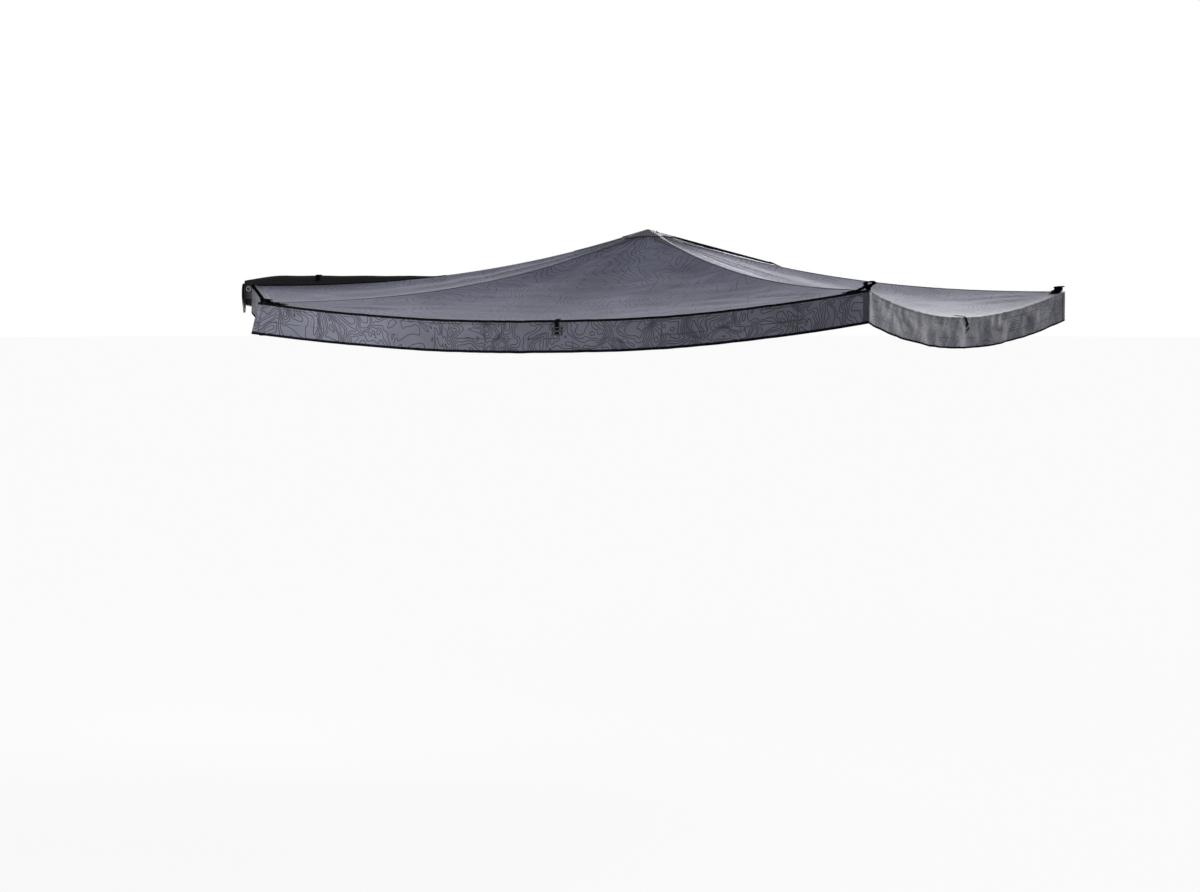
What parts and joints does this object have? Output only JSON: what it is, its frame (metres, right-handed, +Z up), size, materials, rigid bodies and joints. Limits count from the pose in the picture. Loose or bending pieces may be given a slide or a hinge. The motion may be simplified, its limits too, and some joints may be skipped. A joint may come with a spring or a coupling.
{
  "type": "vehicle side awning",
  "caption": "Free-standing wrap-round awning: case on rack brackets, hub with folding arms and drop legs, raised peak mast, patterned canopy with a hanging valance.",
  "frame": {"origin": "centre of the underside of the rear rack bracket's foot", "axes": "+X along the case to its front end, +Y to the side on which the awning opens, +Z up"},
  "size_m": [4.2085, 3.6765, 0.5728],
  "materials": {
    "black_steel": "satin black powder coat",
    "zinc_steel": "zinc plated",
    "alloy": "clear anodised",
    "black_alloy": "black anodised",
    "black_plastic": "moulded nylon",
    "rubber": "moulded",
    "canopy_cloth": "coated ripstop with a fine contour-line print",
    "valance_cloth": "coated cloth with a dark contour-line print",
    "webbing": "black polyester webbing",
    "cover_cloth": "black coated cloth"
  },
  "bodies": {
    "root": {"bracket_rear": "black_steel", "slider_rear": "zinc_steel", "bracket_nut_rear": "zinc_steel", "bracket_front": "black_steel", "slider_front": "zinc_steel", "bracket_nut_front": "zinc_steel", "spine": "black_alloy", "spine_end_cap": "black_plastic", "hub_bracket": "black_steel", "hub_post": "zinc_steel", "hub_nut": "zinc_steel", "hub_washer_1": "black_plastic", "hub_washer_2": "black_plastic", "hub_washer_3": "black_plastic", "peak_patch": "canopy_cloth", "cover_lid": "cover_cloth", "cover_flap": "cover_cloth", "cover_front": "cover_cloth", "cover_strap": "webbing"},
    "arm_1": {"arm_knuckle_1": "black_alloy", "arm_beam_1": "alloy", "arm_tip_1": "black_alloy", "canopy_1": "canopy_cloth", "valance_1": "valance_cloth", "corner_tab_1": "webbing"},
    "leg_1": {"leg_outer_1": "alloy"},
    "leg_1_inner": {"leg_inner_1": "alloy", "leg_foot_1": "rubber"},
    "arm_2": {"arm_knuckle_2": "black_alloy", "arm_beam_2": "alloy", "arm_tip_2": "black_alloy", "canopy_2": "canopy_cloth", "valance_2": "valance_cloth", "corner_tab_2": "webbing", "edge_strap_near": "webbing"},
    "leg_2": {"leg_outer_2": "alloy"},
    "leg_2_inner": {"leg_inner_2": "alloy", "leg_foot_2": "rubber"},
    "arm_3": {"arm_knuckle_3": "black_alloy", "arm_beam_3": "alloy", "arm_tip_3": "black_alloy", "canopy_3": "canopy_cloth", "valance_3": "valance_cloth", "corner_tab_3": "webbing", "edge_strap_rear": "webbing"},
    "leg_3": {"leg_outer_3": "alloy"},
    "leg_3_inner": {"leg_inner_3": "alloy", "leg_foot_3": "rubber"},
    "arm_4": {"arm_knuckle_4": "black_alloy", "arm_beam_4": "alloy", "arm_tip_4": "black_alloy", "canopy_4": "canopy_cloth", "valance_4": "valance_cloth", "corner_tab_4": "webbing"},
    "leg_4": {"leg_outer_4": "alloy"},
    "leg_4_inner": {"leg_inner_4": "alloy", "leg_foot_4": "rubber"},
    "mast_lower": {"mast_lower": "alloy"},
    "mast_upper": {"mast_upper": "alloy", "mast_cap": "black_plastic"}
  },
  "joints": [
    {"name": "arm_1_swing", "type": "hinge", "parent": "root", "child": "arm_1", "pos_m": [-0.62, 0.1063, 0.003], "axis": [0, 0, 1], "range_deg": [-43.5, 0], "deforming": ["canopy_1", "valance_1", "corner_tab_1"]},
    {"name": "arm_2_swing", "type": "hinge", "parent": "arm_1", "child": "arm_2", "pos_m": [-0.62, 0.1063, 0.073], "axis": [0, 0, 1], "range_deg": [-86.2, 0], "deforming": ["canopy_2", "valance_2", "corner_tab_2", "edge_strap_near"]},
    {"name": "arm_3_swing", "type": "hinge", "parent": "arm_2", "child": "arm_3", "pos_m": [-0.62, 0.1063, 0.038], "axis": [0, 0, 1], "range_deg": [-64.2, 0], "deforming": ["canopy_3", "valance_3", "corner_tab_3", "edge_strap_rear"]},
    {"name": "arm_4_swing", "type": "hinge", "parent": "arm_3", "child": "arm_4", "pos_m": [-0.62, 0.1063, 0.108], "axis": [0, 0, 1], "range_deg": [-67.2, 0], "deforming": ["canopy_4", "valance_4", "corner_tab_4"]},
    {"name": "leg_1_fold", "type": "hinge", "parent": "arm_1", "child": "leg_1", "pos_m": [0.8582, 1.5338, 0.002], "axis": [0.6947, -0.7193, 0], "range_deg": [0, 90]},
    {"name": "leg_1_extend", "type": "slide", "parent": "leg_1", "child": "leg_1_inner", "axis": [-0.7193, -0.6947, 0], "range_m": [0, 0.72]},
    {"name": "leg_2_fold", "type": "hinge", "parent": "arm_2", "child": "leg_2", "pos_m": [-1.9682, 1.6572, 0.072], "axis": [0.7547, 0.6561, 0], "range_deg": [0, 90]},
    {"name": "leg_2_extend", "type": "slide", "parent": "leg_2", "child": "leg_2_inner", "axis": [0.6561, -0.7547, 0], "range_m": [0, 0.72]},
    {"name": "leg_3_fold", "type": "hinge", "parent": "arm_3", "child": "leg_3", "pos_m": [-2.5954, -0.4601, 0.037], "axis": [-0.2756, 0.9613, 0], "range_deg": [0, 90]},
    {"name": "leg_3_extend", "type": "slide", "parent": "leg_3", "child": "leg_3_inner", "axis": [0.9613, 0.2756, 0], "range_m": [0, 0.72]},
    {"name": "leg_4_fold", "type": "hinge", "parent": "arm_4", "child": "leg_4", "pos_m": [-0.8348, -1.9374, 0.107], "axis": [-0.9945, 0.1045, 0], "range_deg": [0, 90]},
    {"name": "leg_4_extend", "type": "slide", "parent": "leg_4", "child": "leg_4_inner", "axis": [0.1045, 0.9945, 0], "range_m": [0, 0.72]},
    {"name": "mast_lower_slide", "type": "slide", "parent": "root", "child": "mast_lower", "axis": [0, 0, 1], "range_m": [-0.098, 0]},
    {"name": "mast_upper_slide", "type": "slide", "parent": "mast_lower", "child": "mast_upper", "axis": [0, 0, 1], "range_m": [-0.098, 0]}
  ],
  "couplings": [
    {"joint": "arm_2_swing", "follows": "arm_1_swing", "ratio": 1.977},
    {"joint": "arm_3_swing", "follows": "arm_1_swing", "ratio": 1.4713},
    {"joint": "arm_4_swing", "follows": "arm_1_swing", "ratio": 1.5402}
  ]
}
